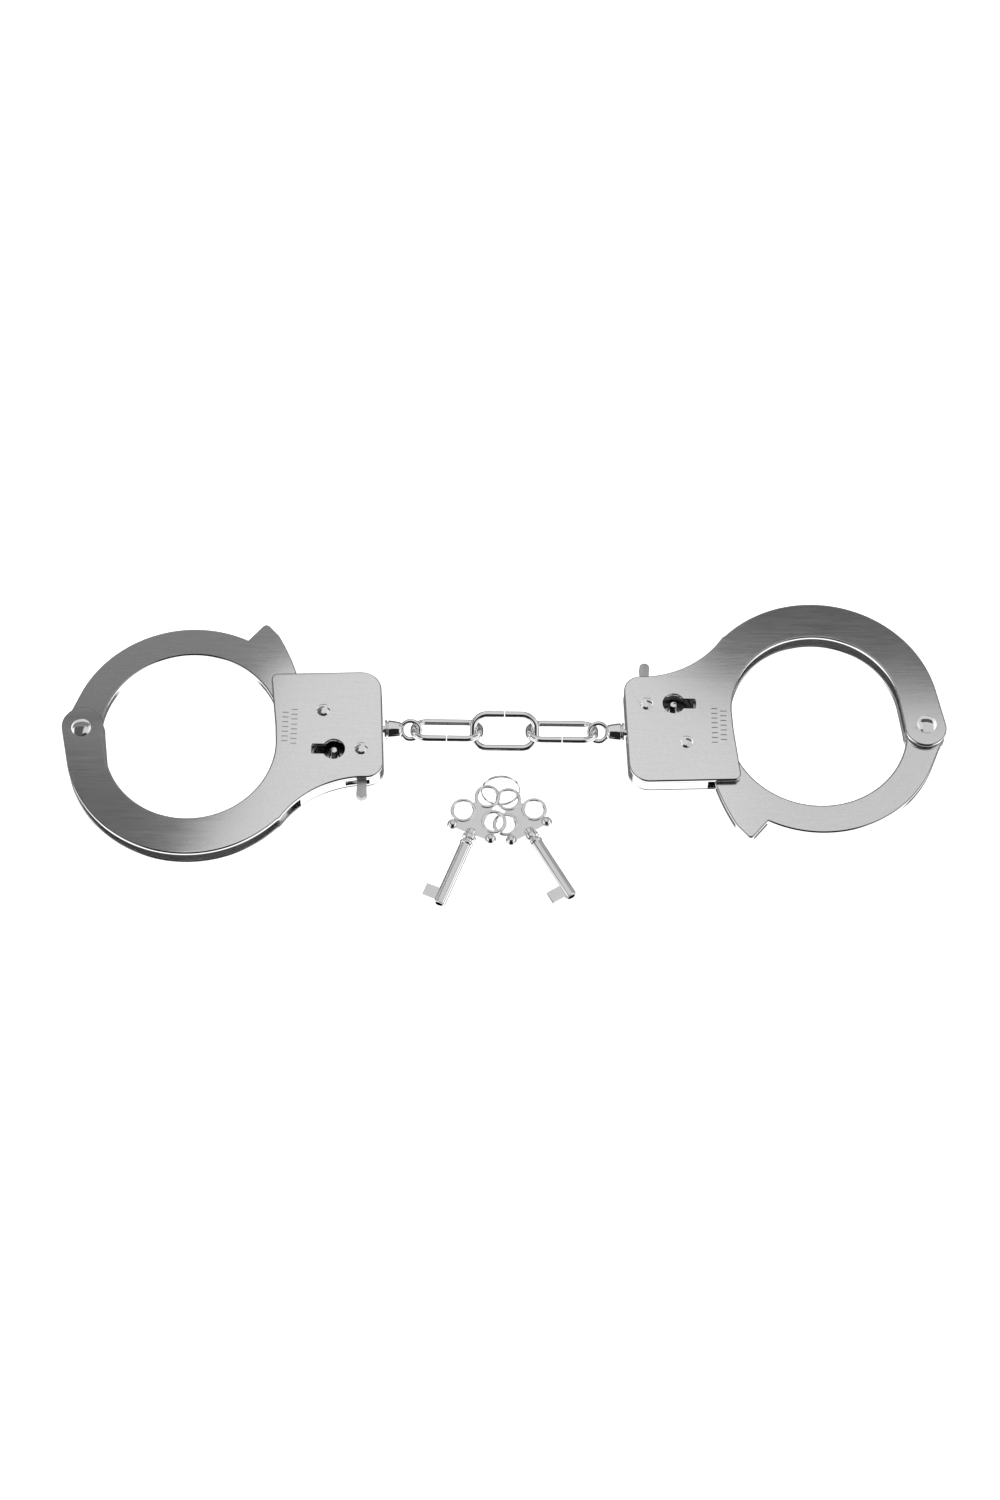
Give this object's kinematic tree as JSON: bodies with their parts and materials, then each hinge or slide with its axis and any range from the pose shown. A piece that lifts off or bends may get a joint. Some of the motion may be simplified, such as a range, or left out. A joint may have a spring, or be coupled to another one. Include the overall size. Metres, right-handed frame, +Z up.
{
  "type": "handcuffs",
  "caption": "Pair of toy-style metal handcuffs with swing-through ratchet arms, a link chain on swivels, thumb release levers and keys on a split ring.",
  "frame": {"origin": "on the floor, in the middle of the set's footprint", "axes": "+X along the chain from the left cuff to the right one, +Y away from the keys, +Z up out of the faces with the keyholes"},
  "size_m": [0.2754, 0.1049, 0.0122],
  "materials": {
    "satin_nickel": "satin nickel plate, faintly brushed along the face",
    "polished_nickel": "polished nickel plate",
    "bare_steel": "plain steel, inside the lock"
  },
  "bodies": {
    "centre_link": {"centre_link": "polished_nickel"},
    "left_link": {"left_link": "polished_nickel"},
    "left_swivel": {"left_swivel": "polished_nickel"},
    "left_cuff": {"left_top_cheek": "satin_nickel", "left_bottom_cheek": "satin_nickel", "left_lock_frame": "polished_nickel", "left_arm_rivet": "polished_nickel", "left_pawl_rivet": "polished_nickel", "left_body_rivet": "polished_nickel", "left_key_post": "bare_steel", "left_pawl_spring": "bare_steel"},
    "left_arm": {"left_swing_arm": "satin_nickel"},
    "left_pawl": {"left_pawl": "bare_steel"},
    "right_link": {"right_link": "polished_nickel"},
    "right_swivel": {"right_swivel": "polished_nickel"},
    "right_cuff": {"right_top_cheek": "satin_nickel", "right_bottom_cheek": "satin_nickel", "right_lock_frame": "polished_nickel", "right_arm_rivet": "polished_nickel", "right_pawl_rivet": "polished_nickel", "right_body_rivet": "polished_nickel", "right_key_post": "bare_steel", "right_pawl_spring": "bare_steel"},
    "right_arm": {"right_swing_arm": "satin_nickel"},
    "right_pawl": {"right_pawl": "bare_steel"},
    "key_ring": {"key_ring": "polished_nickel"},
    "left_key": {"left_key": "polished_nickel"},
    "right_key": {"right_key": "polished_nickel"}
  },
  "joints": [
    {"name": "left_link_fold", "type": "hinge", "parent": "centre_link", "child": "left_link", "pos_m": [-0.0098, 0.007, 0.0039], "axis": [0, 0.9063, 0.4226], "range_deg": [-75, 75]},
    {"name": "left_eye_fold", "type": "hinge", "parent": "left_link", "child": "left_swivel", "pos_m": [-0.02828, 0.007, 0.0039], "axis": [0, 0.8387, -0.5446], "range_deg": [-80, 80]},
    {"name": "left_swivel_turn", "type": "hinge", "parent": "left_swivel", "child": "left_cuff", "pos_m": [-0.0375, 0.007, 0.0039], "axis": [1, 0, 0], "continuous": true},
    {"name": "left_arm_swing", "type": "hinge", "parent": "left_cuff", "child": "left_arm", "pos_m": [-0.1315, 0.0045, 0.0039], "axis": [0, 0, 1], "continuous": true},
    {"name": "left_pawl_rock", "type": "hinge", "parent": "left_cuff", "child": "left_pawl", "pos_m": [-0.0565, 0.0118, 0.0039], "axis": [0, 0, 1], "range_deg": [-4, 0], "stiffness_Nm_per_rad": 0.05, "springref_deg": -14.32},
    {"name": "right_link_fold", "type": "hinge", "parent": "centre_link", "child": "right_link", "pos_m": [0.0098, 0.007, 0.0039], "axis": [0, 0.9063, 0.4226], "range_deg": [-75, 75]},
    {"name": "right_eye_fold", "type": "hinge", "parent": "right_link", "child": "right_swivel", "pos_m": [0.02828, 0.007, 0.0039], "axis": [0, 0.8387, -0.5446], "range_deg": [-80, 80]},
    {"name": "right_swivel_turn", "type": "hinge", "parent": "right_swivel", "child": "right_cuff", "pos_m": [0.0375, 0.007, 0.0039], "axis": [1, 0, 0], "continuous": true},
    {"name": "right_arm_swing", "type": "hinge", "parent": "right_cuff", "child": "right_arm", "pos_m": [0.1315, 0.0095, 0.0039], "axis": [0, 0, 1], "continuous": true},
    {"name": "right_pawl_rock", "type": "hinge", "parent": "right_cuff", "child": "right_pawl", "pos_m": [0.0565, 0.0022, 0.0039], "axis": [0, 0, 1], "range_deg": [-4, 0], "stiffness_Nm_per_rad": 0.05, "springref_deg": -14.32},
    {"name": "key_ring_lift", "type": "slide", "parent": "centre_link", "child": "key_ring", "axis": [0, 0, 1], "range_m": [0, 0.06]},
    {"name": "left_key_swing", "type": "hinge", "parent": "key_ring", "child": "left_key", "pos_m": [-0.00663, -0.0158, 0.00508], "axis": [0, 0, 1], "range_deg": [-45, 12]},
    {"name": "right_key_swing", "type": "hinge", "parent": "key_ring", "child": "right_key", "pos_m": [0.00305, -0.01632, 0.00231], "axis": [0, 0, 1], "range_deg": [-12, 60]}
  ]
}
